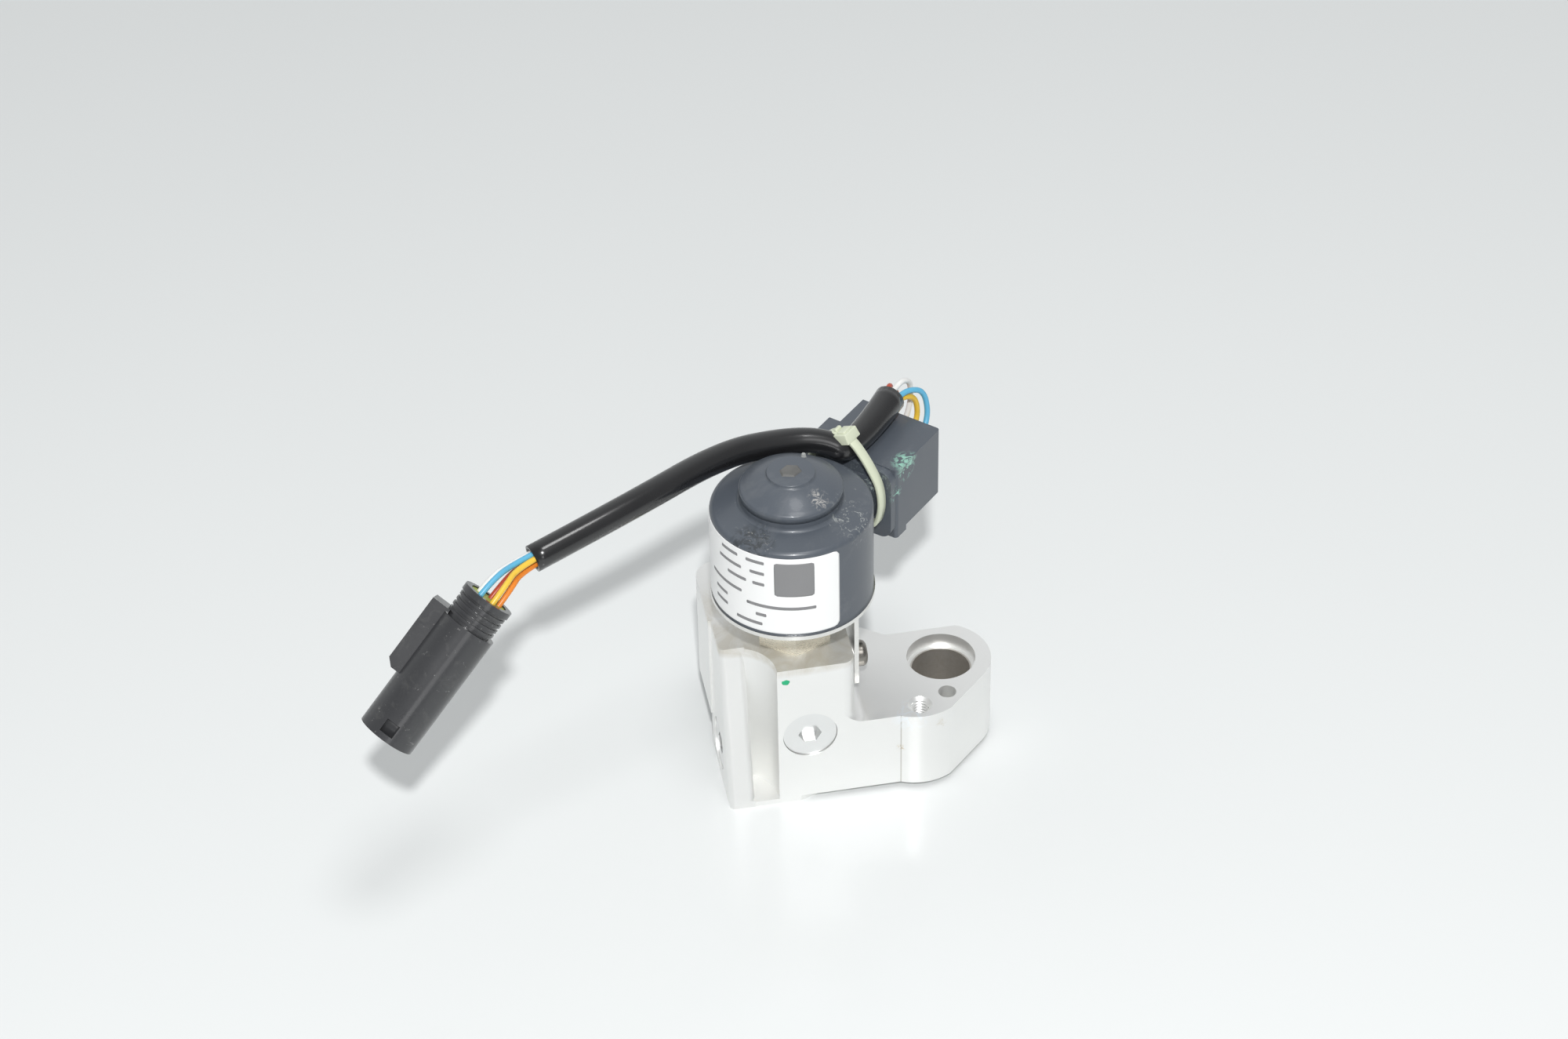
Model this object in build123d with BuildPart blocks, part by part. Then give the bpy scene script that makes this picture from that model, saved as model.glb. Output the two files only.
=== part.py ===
# Expansion valve with a stepper coil. Millimetres, +Z up, the front plane faces -Y.
# The origin is on the needle axis, in the plane the block stands on.
import math
import os

from build123d import *

os.makedirs("parts", exist_ok=True)

# Clearances
fit_gap = 0.1          # between fixed round pieces, one inside the other
run_gap = 0.3          # between a moving piece and what surrounds it
guide_gap = 0.06       # sliding fit of the needle in its guide
wall_min = 0.5         # thinnest wall left anywhere
cut_over = 1.0         # how far a cut runs past the face it starts from

# Needle axis stack, bottom to top
block_top = 39.7
foot_gap = 1.5         # the underside is raised this much around the foot pad
hex_top = 50.4
bracket_z = 52.3
bracket_t = 1.0
coil_r = 18.0
coil_bottom = bracket_z + bracket_t
coil_top = 76.4
crown_rise = 0.9       # the coil's top climbs this much towards the dome
boss_r = 11.4
boss_top = 81.0
boss_round = 0.9
disc_r = 5.3
disc_h = 0.7
dome_bulge = 0.25      # how far the dome's flank bows out
gate_w = 4.6
gate_l = 3.68
gate_h = 0.6
edge_r = 1.3

# Block in plan, from the needle axis
front_y = -13.4
left_x = -17.7
right_x = 11.5
corner_x = -6.3        # where the front plane ends at the scooped corner
tower_back = 27.5
side_rear = 9.6        # rear edge of the lower left side
rear_proud = 0.6       # the upper rear part stands this far out on the left
rear_floor = 12.0      # underside of the upper rear part
corner_r = 2.7
rear_r = 5.0
scoop_r = 9.1
scoop_c = (-15.4, -12.6)
lip_w = 5.8            # width of the leaning lip left of the scoop
lip_top_y = -3.6
lip_round = 1.4
foot_overlap = 0.2     # pieces of one solid run this far into each other
pad_in = 1.0           # the pad stays this far inside the outline
pad_back = 9.0
pad_nose = (4.7, 1.75)
pad_step = (5.0, 4.0)
pad_left_y = 4.6

# Arm
arm_top = 21.6
port_c = (35.0, 4.7)
arm_end_r = 11.5
bulge_c = (27.2, -2.6)
bulge_r = 12.05
crease_x = 21.85
bulge_end_x = 33.7
arm_back = 14.7
arm_back_x = 24.0
web = ((19.0, 18.4), (6.0, 22.0))
foot_r = 2.6
port_mouth_r = 7.9
port_mouth_depth = 3.5
port_r = 6.7
port_floor = 4.0
stud_c = (26.8, -10.5)
stud_r = 2.1
stud_depth = 12.0
stud_cone = 0.7
pin_c = (33.8, -7.4)
pin_r = 2.05
pin_depth = 7.0

# Passages
base_mouth_r = 6.0
base_mouth_depth = 4.0
base_port_r = 5.0
base_port_top = 13.0
seat_r = 5.6
seat_h = 5.0
orifice_r = 1.2
chamber_r = 6.4
passage_r = 3.5
rear_port_r = 6.0
rear_port_depth = 9.0
front_plug_c = (1.0, 19.7)
side_plug_c = (0.6, 8.2)
plug_r = 6.1
plug_sink = 1.6
plug_proud = 0.75      # share of the sink that the plug's head fills
front_bore_r = 4.9
front_bore_len = 5.0
front_shank = 4.6
side_bore_r = 3.9
side_bore_len = 8.5
side_shank = 7.0
rear_rise = 1.0        # the rear port sits this much above the front plug
spot_face = 1.2        # the screw's boss is this much wider than its head
socket_r = 2.7
socket_depth = 2.6
seal_t = 1.0
seat_chamfer = 0.8

# Valve cartridge
hex_flats = 15.8
hex_turn = -97.3       # plan direction of the hexagon's front corner
barrel_bottom = 26.0
barrel_r = chamber_r - fit_gap
neck_r = 7.6
neck_top = bracket_z + bracket_t
seal_below = 5.0       # the ring seal's groove, down from the block's top
groove_d = 1.2
groove_h = 1.8
ring_seal = (0.9, 1.6)
thread_over = 1.0
can_foot_in = 2.2
can_round = 2.0
can_r = 9.5
can_t = 0.6
can_top = 80.0
needle_r = 1.45
needle_hole_r = needle_r + guide_gap
needle_tip_r = 0.5
needle_lift = 3.0
bush_r = 4.6
bush_flange_h = 1.6
bush_top = 61.0
needle_head_z = 48.0
needle_tip_h = 2.0
needle_shut_h = 1.8
spindle_r = 2.2
spindle_top = 73.0
socket_len = 4.0
magnet_r = can_r - can_t - run_gap
magnet_t = 2.4
magnet_bottom = 57.0
magnet_top = 71.0
hub_z = 66.5
hub_rim_in = 0.6
hub_rim_h = 0.9
nut_r = 3.4
nut_h = 1.1

# Coil inside
can_fit = 0.15
cap_gap = 0.2
bore_r = can_r + can_fit
bore_top = can_top + cap_gap
crown_roof = 3.0
disc_z = bore_top + crown_roof
winding_in = 11.2
winding_out = 15.4
winding_h = 8.2
winding_z = (55.2, 65.6)
yoke_h = 1.6
yoke_room = 1.0

# Terminal box, along the direction it faces and across it
box_turn = 46.0
box_near = 24.8
box_far = 43.1
box_half = 11.7
box_z = (54.0, 73.2)
box_round = 0.8
box_wall = 1.6
neck_half = 7.9
neck_z = (59.8, 70.6)
neck_round = 2.5
neck_in = 5.0          # the neck starts this far outside the coil's bore
flange_out = 1.9
flange_in = 0.35
flange_z = (54.8, 73.0)
flange_round = 3.0
cover_t = 1.4
notch = (9.6, 2.9)     # the rear part is narrower on one side
step = (4.0, 1.4)      # and its underside is higher, from this far behind the front
board_t = 1.2
board_gap = 1.0
cave_in = 3.0
pin_len = 5.0
pin_half = 0.4
pin_margin = 0.4

# Bracket and its screw
ring_r = 18.3
tab_x = 12.7
tab_t = 1.0
tab_half = 5.9
tab_bottom = 26.5
screw_z = 30.2
screw_head_r = 3.0
screw_head_h = 2.9
screw_round = 1.2
screw_cross = (3.2, 1.0)
ring_bridge = 8.0      # how far the bracket's strip runs in under the ring
screw_r = 1.7
screw_hole = 4.2       # depth of its hole in the tower
screw_slot = 0.7

# Label on the coil
label_t = 0.12
label_gap = 0.01
label_margin = 0.7
label_z = (coil_bottom + label_margin, coil_top - edge_r)
label_turn = (-66.0, -196.0)

# Cable
sleeve_r = 3.1
sleeve_wall = 0.55
wire_r = 0.65
ring_wire_r = 1.4
wire_names = ("blue", "yellow", "white", "orange", "red")
sleeve_points = ((-58.2, -9.7, 78.1), (-36.2, -2.2, 82.5), (-13.0, 13.4, 81.6),
                 (1.5, 17.2, 79.9), (10.4, 16.4, 79.6), (16.2, 14.0, 76.5), (28.4, 30.4, 77.7))
wire_exit_z = 66.0
wire_slots = (72.0, 144.0, 0.0, 216.0, 288.0)
past_sleeve = 3.0
loop_out = 3.9         # how far behind the box the wires turn down
loop_in = 4.5          # how far inside the box they end
bend_share = 0.45
bend_cap = 60.0

# Cable tie
tie_n = 21.2
way_steps = 400
tie_w = 2.5
tie_t = 1.1
tie_room = 0.25
tie_reach = 0.3
tie_shoulder = 0.8
tie_round = 2.4
tie_head = (4.6, 4.6, 3.2)
tie_head_sink = 0.4
tie_tail = (1.0, 2.2, 4.0)

# Connector, from the collar's end towards the mouth
plug_at = (-68.85, -18.5, 76.3)
plug_dir = (-0.677, -0.31, -0.664)
latch_dir = (-0.73, 0.51, 0.46)   # the side the latch is on
collar_r = 5.3
collar_len = 7.4
collar_flange_t = 1.5
rib_out = 0.6
rib_low = 0.36
rib_w = 0.6
rib_pitch = 1.3
rib_count = 4
shell_r = 6.5
shell_len = 37.0
shell_t = 1.1
seal_len = 5.0
seal_sink = 0.3
seal_wall = 0.9
wire_lead = 4.0        # the wires leave the connector straight for this far
wire_back = 0.5
plug_wire_ring = 2.75
latch_w = 6.4
latch_h = 2.9
latch_root = 1.6
latch_chamfer = 1.6
latch_z = (6.6, 24.0)
window = (3.0, 3.2)
window_in = 1.4
mouth_depth = 14.0
contact_len = 8.0
contact_r = 0.5
contact_ring = 3.0

up = Vector(0, 0, 1)
box_mid = (box_near + box_far) / 2
cave_half = box_half - notch[1] - box_wall
cave_near = box_near + cave_in
cave_z = (box_z[0] + step[1] + box_wall, box_z[1] - box_wall)
board_half = cave_half - board_gap
wire_pitch = (board_half - pin_half - pin_margin) / (len(wire_names) // 2)


def unit(v):
    return v * (1.0 / v.length)


def at_box(n, w, z):
    a = math.radians(box_turn)
    return Vector(n * math.cos(a) - w * math.sin(a), n * math.sin(a) + w * math.cos(a), z)


def save(part, name, label):
    part.label = label
    export_step(part, "parts/" + name + ".step")


# A route through points, and the same route set off sideways without twist.
def turned(side, before, after):
    axis = before.cross(after)
    if axis.length < 1e-6:
        return side
    k = unit(axis)
    turn = math.acos(max(-1.0, min(1.0, before.dot(after))))
    return (side * math.cos(turn) + k.cross(side) * math.sin(turn)
            + k * (k.dot(side) * (1.0 - math.cos(turn))))


def sides_along(points, first_side):
    runs = [unit(points[i + 1] - points[i]) for i in range(len(points) - 1)]
    side = first_side - runs[0] * first_side.dot(runs[0])
    sides = [unit(side)]
    for i in range(1, len(runs)):
        sides.append(turned(sides[-1], runs[i - 1], runs[i]))
    return runs, sides


def offset_points(points, first_side, out, around):
    runs, sides = sides_along(points, first_side)
    moved = []
    for i in range(len(points)):
        j = min(i, len(runs) - 1)
        across = sides[j]
        other = runs[j].cross(across)
        off = across * (out * math.cos(around)) + other * (out * math.sin(around))
        if 0 < i < len(points) - 1:
            before, after = runs[i - 1], runs[i]
            normal = unit(before.cross(after))
            reach = off.dot(normal.cross(after))
            half = math.acos(max(-1.0, min(1.0, before.dot(after)))) / 2.0
            off = unit(after - before) * (reach / math.cos(half)) + normal * off.dot(normal)
        moved.append(points[i] + off)
    return moved


def bends(points, cap=bend_cap):
    radii = []
    for i in range(1, len(points) - 1):
        one, two = points[i] - points[i - 1], points[i + 1] - points[i]
        turn = math.acos(max(-1.0, min(1.0, unit(one).dot(unit(two)))))
        fit = bend_share * min(one.length, two.length) / math.tan(turn / 2.0)
        radii.append(min(fit, cap))
    return radii


def route(points):
    return FilletPolyline(*points, radius=bends(points))


# A place in the row of wires behind the box
def row_place(i):
    return (i - (len(wire_names) - 1) / 2) * wire_pitch


# The block: tower, upper rear part, arm, foot
with BuildPart() as valve_block:
    with BuildSketch(Plane.XY.offset(foot_gap)):
        with BuildLine():
            Polyline((left_x, front_y), (right_x - corner_r, front_y))
            RadiusArc((right_x - corner_r, front_y), (right_x, front_y + corner_r), -corner_r)
            Polyline((right_x, front_y + corner_r), (right_x, side_rear), (left_x, side_rear),
                     (left_x, front_y))
        make_face()
    extrude(amount=block_top - foot_gap)
    with BuildSketch(Plane.XY.offset(rear_floor)) as rear_plan:
        rear_w = right_x - left_x + rear_proud
        rear_d = tower_back - side_rear + corner_r
        with Locations((right_x - rear_w / 2, tower_back - rear_d / 2)):
            Rectangle(rear_w, rear_d)
        back_corners = rear_plan.vertices().sort_by(Axis.Y)[-2:]
        fillet(back_corners, rear_r)
    extrude(amount=block_top - rear_floor)
    tangent = arm_end_r * math.sqrt(0.5)
    with BuildSketch(Plane.XY.offset(foot_gap)):
        with BuildLine():
            end_y = bulge_c[1] - math.sqrt(bulge_r ** 2 - (bulge_end_x - bulge_c[0]) ** 2)
            start = (crease_x, front_y)
            Polyline((0, front_y), start)
            ThreePointArc(start, (bulge_c[0], bulge_c[1] - bulge_r), (bulge_end_x, end_y))
            low = (port_c[0] + tangent, port_c[1] - tangent)
            Line((bulge_end_x, end_y), low)
            lift = arm_back - port_c[1]
            high = (port_c[0] + math.sqrt(arm_end_r ** 2 - lift ** 2), arm_back)
            ThreePointArc(low, (port_c[0] + arm_end_r, port_c[1]), high)
            Polyline(high, (arm_back_x, arm_back), web[0], web[1], (0, web[1][1]), (0, front_y))
        make_face()
    extrude(amount=arm_top - foot_gap)
    # the pad the block stands on
    with BuildSketch(Plane.XY) as pad_plan:
        with BuildLine():
            nose_x = corner_x + pad_step[0]
            Polyline((left_x, front_y), (nose_x, front_y),
                     (nose_x + pad_nose[0], front_y + pad_nose[1]),
                     (right_x - pad_in, front_y + pad_step[1]), (right_x - pad_in, pad_back),
                     (left_x + 2 * pad_in, pad_back), (left_x, pad_left_y), (left_x, front_y))
        make_face()
    extrude(amount=foot_gap + foot_overlap)
    # the scooped corner stops at a thin ledge; the lip left of it leans back
    with BuildSketch(Plane.XY.offset(foot_gap)) as scoop_plan:
        with Locations(scoop_c):
            Circle(scoop_r)
        with Locations((left_x + lip_w / 2 - cut_over, scoop_c[1])):
            Rectangle(lip_w + 2 * cut_over, 3 * scoop_r, mode=Mode.SUBTRACT)
    extrude(amount=block_top, mode=Mode.SUBTRACT)
    with BuildSketch(Plane.YZ.offset(left_x - cut_over)):
        with BuildLine():
            Polyline((front_y, 0), (lip_top_y, block_top), (lip_top_y, block_top + cut_over),
                     (front_y - cut_over, block_top + cut_over), (front_y - cut_over, 0),
                     (front_y, 0))
        make_face()
    extrude(amount=lip_w + cut_over, mode=Mode.SUBTRACT)
    lean_y = (front_y + lip_top_y) / 2
    lip_edges = [e for e in valve_block.edges().filter_by(GeomType.LINE)
                 if e.length > block_top / 2 and abs(e.center().Y - lean_y) < lip_round
                 and min(abs(e.center().X - x) for x in (left_x, left_x + lip_w)) < fit_gap]
    fillet(lip_edges, lip_round)
    # the valve axis
    with Locations((0, 0, -cut_over)):
        Cylinder(base_port_r, base_port_top + 2 * cut_over, mode=Mode.SUBTRACT,
                 align=(Align.CENTER, Align.CENTER, Align.MIN))
    with Locations((0, 0, base_port_top)):
        Cylinder(seat_r, seat_h + cut_over, mode=Mode.SUBTRACT,
                 align=(Align.CENTER, Align.CENTER, Align.MIN))
    with Locations((0, 0, base_port_top + seat_h)):
        Cylinder(chamber_r, block_top, mode=Mode.SUBTRACT,
                 align=(Align.CENTER, Align.CENTER, Align.MIN))
    with Locations((0, 0, -cut_over)):
        Cylinder(base_mouth_r, base_mouth_depth + cut_over, mode=Mode.SUBTRACT,
                 align=(Align.CENTER, Align.CENTER, Align.MIN))
    # the arm's port, its stud hole and its pin hole
    with Locations((port_c[0], port_c[1], port_floor)):
        Cylinder(port_r, block_top, mode=Mode.SUBTRACT,
                 align=(Align.CENTER, Align.CENTER, Align.MIN))
    with Locations((port_c[0], port_c[1], arm_top - port_mouth_depth)):
        Cylinder(port_mouth_r, block_top, mode=Mode.SUBTRACT,
                 align=(Align.CENTER, Align.CENTER, Align.MIN))
    with Locations((stud_c[0], stud_c[1], arm_top - stud_depth)):
        Cylinder(stud_r, block_top, mode=Mode.SUBTRACT,
                 align=(Align.CENTER, Align.CENTER, Align.MIN))
    with Locations((stud_c[0], stud_c[1], arm_top - stud_cone)):
        Cone(stud_r, stud_r + stud_cone, stud_cone, mode=Mode.SUBTRACT,
             align=(Align.CENTER, Align.CENTER, Align.MIN))
    with Locations((pin_c[0], pin_c[1], arm_top - pin_depth)):
        Cylinder(pin_r, block_top, mode=Mode.SUBTRACT,
                 align=(Align.CENTER, Align.CENTER, Align.MIN))
    # the low passage, drilled from the left side through to the arm's port
    low_plane = Plane(origin=(left_x - cut_over, side_plug_c[0], side_plug_c[1]),
                      x_dir=(0, 1, 0), z_dir=(1, 0, 0))
    with BuildSketch(low_plane):
        Circle(passage_r)
    extrude(amount=port_c[0] - left_x, mode=Mode.SUBTRACT)
    with BuildSketch(low_plane):
        Circle(side_bore_r)
    extrude(amount=cut_over + plug_sink + side_bore_len, mode=Mode.SUBTRACT)
    with BuildSketch(low_plane):
        Circle(plug_r + fit_gap)
    extrude(amount=cut_over + plug_sink + seal_t, mode=Mode.SUBTRACT)
    # the high passage, drilled from the front through to the rear port
    high_plane = Plane(origin=(front_plug_c[0], front_y - cut_over, front_plug_c[1]),
                       x_dir=(1, 0, 0), z_dir=(0, 1, 0))
    with BuildSketch(high_plane):
        Circle(passage_r)
    extrude(amount=tower_back - front_y, mode=Mode.SUBTRACT)
    with BuildSketch(high_plane):
        Circle(front_bore_r)
    extrude(amount=cut_over + plug_sink + front_bore_len, mode=Mode.SUBTRACT)
    with BuildSketch(high_plane):
        Circle(plug_r + fit_gap)
    extrude(amount=cut_over + plug_sink + seal_t, mode=Mode.SUBTRACT)
    rear_plane = Plane(origin=(front_plug_c[0], tower_back + cut_over, front_plug_c[1] + rear_rise),
                       x_dir=(1, 0, 0), z_dir=(0, -1, 0))
    with BuildSketch(rear_plane):
        Circle(rear_port_r)
    extrude(amount=cut_over + rear_port_depth, mode=Mode.SUBTRACT)
    # the bracket screw's hole
    screw_plane = Plane(origin=(right_x + cut_over, 0, screw_z), x_dir=(0, 1, 0), z_dir=(-1, 0, 0))
    with BuildSketch(screw_plane):
        Circle(screw_r + fit_gap)
    extrude(amount=cut_over + screw_hole, mode=Mode.SUBTRACT)
    # the pad the bracket's tab bears on
    pad_plane = Plane(origin=(right_x, 0, screw_z), x_dir=(0, 1, 0), z_dir=(1, 0, 0))
    with BuildSketch(pad_plane):
        Circle(screw_head_r + spot_face)
        Circle(screw_r + fit_gap, mode=Mode.SUBTRACT)
    extrude(amount=tab_x - right_x)
    foot_edges = [e for e in valve_block.edges().filter_by(GeomType.LINE).filter_by(Axis.Y)
                  if abs(e.center().Z - arm_top) < fit_gap and abs(e.center().X - right_x) < fit_gap]
    fillet(foot_edges, foot_r)


# Plugs: a sunk head with a six sided socket, a shank, and a flat seal under the head
def plug_on(plane, bore, shank):
    with BuildPart() as piece:
        with BuildSketch(plane.offset(plug_sink * (1 - plug_proud))):
            Circle(plug_r)
        extrude(amount=plug_sink * plug_proud)
        with BuildSketch(plane.offset(plug_sink)):
            Circle(bore - fit_gap)
        extrude(amount=shank)
        with BuildSketch(plane):
            RegularPolygon(socket_r, 6)
        extrude(amount=socket_depth, mode=Mode.SUBTRACT)
    return piece


def seal_on(plane, bore):
    with BuildPart() as piece:
        with BuildSketch(plane.offset(plug_sink)):
            Circle(plug_r - fit_gap)
            Circle(bore, mode=Mode.SUBTRACT)
        extrude(amount=seal_t)
    return piece


front_face = Plane(origin=(front_plug_c[0], front_y, front_plug_c[1]), x_dir=(1, 0, 0),
                   z_dir=(0, 1, 0))
left_face = Plane(origin=(left_x, side_plug_c[0], side_plug_c[1]), x_dir=(0, 1, 0),
                  z_dir=(1, 0, 0))
front_plug = plug_on(front_face, front_bore_r, front_shank)
front_plug_seal = seal_on(front_face, front_bore_r)
side_plug = plug_on(left_face, side_bore_r, side_shank)
side_plug_seal = seal_on(left_face, side_bore_r)

# The seat with its orifice
with BuildPart() as valve_seat:
    with BuildSketch(Plane.XZ):
        with BuildLine():
            Polyline((orifice_r, base_port_top), (seat_r - fit_gap, base_port_top),
                     (seat_r - fit_gap, base_port_top + seat_h),
                     (orifice_r + seat_chamfer, base_port_top + seat_h),
                     (orifice_r, base_port_top + seat_h - seat_chamfer),
                     (orifice_r, base_port_top))
        make_face()
    revolve(axis=Axis.Z)

# The hexagon base that screws into the block and carries the can
seal_z = block_top - seal_below
groove_r = barrel_r - groove_d
with BuildPart() as hex_base:
    with BuildSketch(Plane.XY.offset(block_top)):
        RegularPolygon(hex_flats / 2, 6, major_radius=False, rotation=hex_turn)
    extrude(amount=hex_top - block_top)
    with BuildSketch(Plane.XZ):
        with BuildLine():
            Polyline((needle_hole_r, barrel_bottom), (barrel_r, barrel_bottom),
                     (barrel_r, seal_z), (groove_r, seal_z), (groove_r, seal_z + groove_h),
                     (barrel_r, seal_z + groove_h), (barrel_r, block_top + thread_over),
                     (needle_hole_r, block_top + thread_over), (needle_hole_r, barrel_bottom))
        make_face()
    revolve(axis=Axis.Z)
    with Locations((0, 0, hex_top)):
        Cylinder(neck_r, neck_top - hex_top, align=(Align.CENTER, Align.CENTER, Align.MIN))
    with Locations((0, 0, block_top)):
        Cylinder(needle_hole_r, neck_top, mode=Mode.SUBTRACT,
                 align=(Align.CENTER, Align.CENTER, Align.MIN))
    with Locations((0, 0, neck_top - socket_len)):
        Cylinder(spindle_r + run_gap, neck_top, mode=Mode.SUBTRACT,
                 align=(Align.CENTER, Align.CENTER, Align.MIN))

with BuildPart() as base_seal:
    with BuildSketch(Plane.XZ):
        with Locations((barrel_r - fit_gap - ring_seal[0] / 2, seal_z + groove_h / 2)):
            Rectangle(ring_seal[0], ring_seal[1])
    revolve(axis=Axis.Z)

# The thin can that keeps the refrigerant away from the coil
foot_r_in = neck_r - can_foot_in
with BuildPart() as motor_can:
    with BuildSketch(Plane.XZ):
        with BuildLine():
            turn_z = can_top - can_round
            Polyline((foot_r_in, neck_top), (can_r, neck_top), (can_r, turn_z))
            RadiusArc((can_r, turn_z), (can_r - can_round, can_top), -can_round)
            Polyline((can_r - can_round, can_top), (0, can_top), (0, can_top - can_t),
                     (can_r - can_round, can_top - can_t))
            RadiusArc((can_r - can_round, can_top - can_t), (can_r - can_t, turn_z),
                      can_round - can_t)
            Polyline((can_r - can_t, turn_z), (can_r - can_t, neck_top + can_t),
                     (foot_r_in, neck_top + can_t), (foot_r_in, neck_top))
        make_face()
    revolve(axis=Axis.Z)

# The fixed nut the spindle turns in
with BuildPart() as guide_bush:
    with BuildSketch(Plane.XZ):
        with BuildLine():
            inner, flange = spindle_r + run_gap, foot_r_in - fit_gap
            Polyline((inner, neck_top), (flange, neck_top), (flange, neck_top + bush_flange_h),
                     (bush_r, neck_top + bush_flange_h), (bush_r, bush_top), (inner, bush_top),
                     (inner, neck_top))
        make_face()
    revolve(axis=Axis.Z)

# Rotor: magnet, its hub and the spindle
with BuildPart() as rotor_magnet:
    with Locations((0, 0, magnet_bottom)):
        Cylinder(magnet_r, magnet_top - magnet_bottom,
                 align=(Align.CENTER, Align.CENTER, Align.MIN))
        Cylinder(magnet_r - magnet_t, magnet_top - magnet_bottom, mode=Mode.SUBTRACT,
                 align=(Align.CENTER, Align.CENTER, Align.MIN))

with BuildPart() as rotor_hub:
    with Locations((0, 0, hub_z)):
        Cylinder(magnet_r - magnet_t - fit_gap, magnet_top - hub_z,
                 align=(Align.CENTER, Align.CENTER, Align.MIN))
    with Locations((0, 0, magnet_top)):
        Cylinder(magnet_r - hub_rim_in, hub_rim_h, align=(Align.CENTER, Align.CENTER, Align.MIN))
    with Locations((0, 0, hub_z)):
        Cylinder(spindle_r + fit_gap, magnet_top, mode=Mode.SUBTRACT,
                 align=(Align.CENTER, Align.CENTER, Align.MIN))

spindle_foot = needle_head_z + needle_tip_h
needle_top = needle_head_z + socket_len + needle_tip_h
with BuildPart() as spindle:
    with Locations((0, 0, spindle_foot)):
        Cylinder(spindle_r, spindle_top - spindle_foot,
                 align=(Align.CENTER, Align.CENTER, Align.MIN))
    with Locations((0, 0, magnet_top + hub_rim_h)):
        Cylinder(nut_r, nut_h, align=(Align.CENTER, Align.CENTER, Align.MIN))
    with Locations((0, 0, needle_head_z)):
        Cylinder(needle_hole_r, needle_top - needle_head_z, mode=Mode.SUBTRACT,
                 align=(Align.CENTER, Align.CENTER, Align.MIN))

with BuildPart() as needle:
    with BuildSketch(Plane.XZ):
        with BuildLine():
            tip = base_port_top + needle_tip_h
            shut = base_port_top + seat_h - seat_chamfer
            Polyline((0, tip), (needle_tip_r, tip), (orifice_r - run_gap, shut),
                     (needle_r, shut + needle_shut_h), (needle_r, needle_top),
                     (0, needle_top), (0, tip))
        make_face()
    revolve(axis=Axis.Z)

# The overmoulded coil, its neck and the terminal box
box_plane = Plane(origin=(0, 0, 0), x_dir=at_box(1, 0, 0), z_dir=(0, 0, 1))
side_n, side_w = at_box(1, 0, 0), at_box(0, 1, 0)


# A plane across the box's direction, its height axis up
def across_box(n, z):
    return Plane(origin=at_box(n, 0, z), x_dir=side_w * -1, z_dir=side_n * -1)


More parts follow.
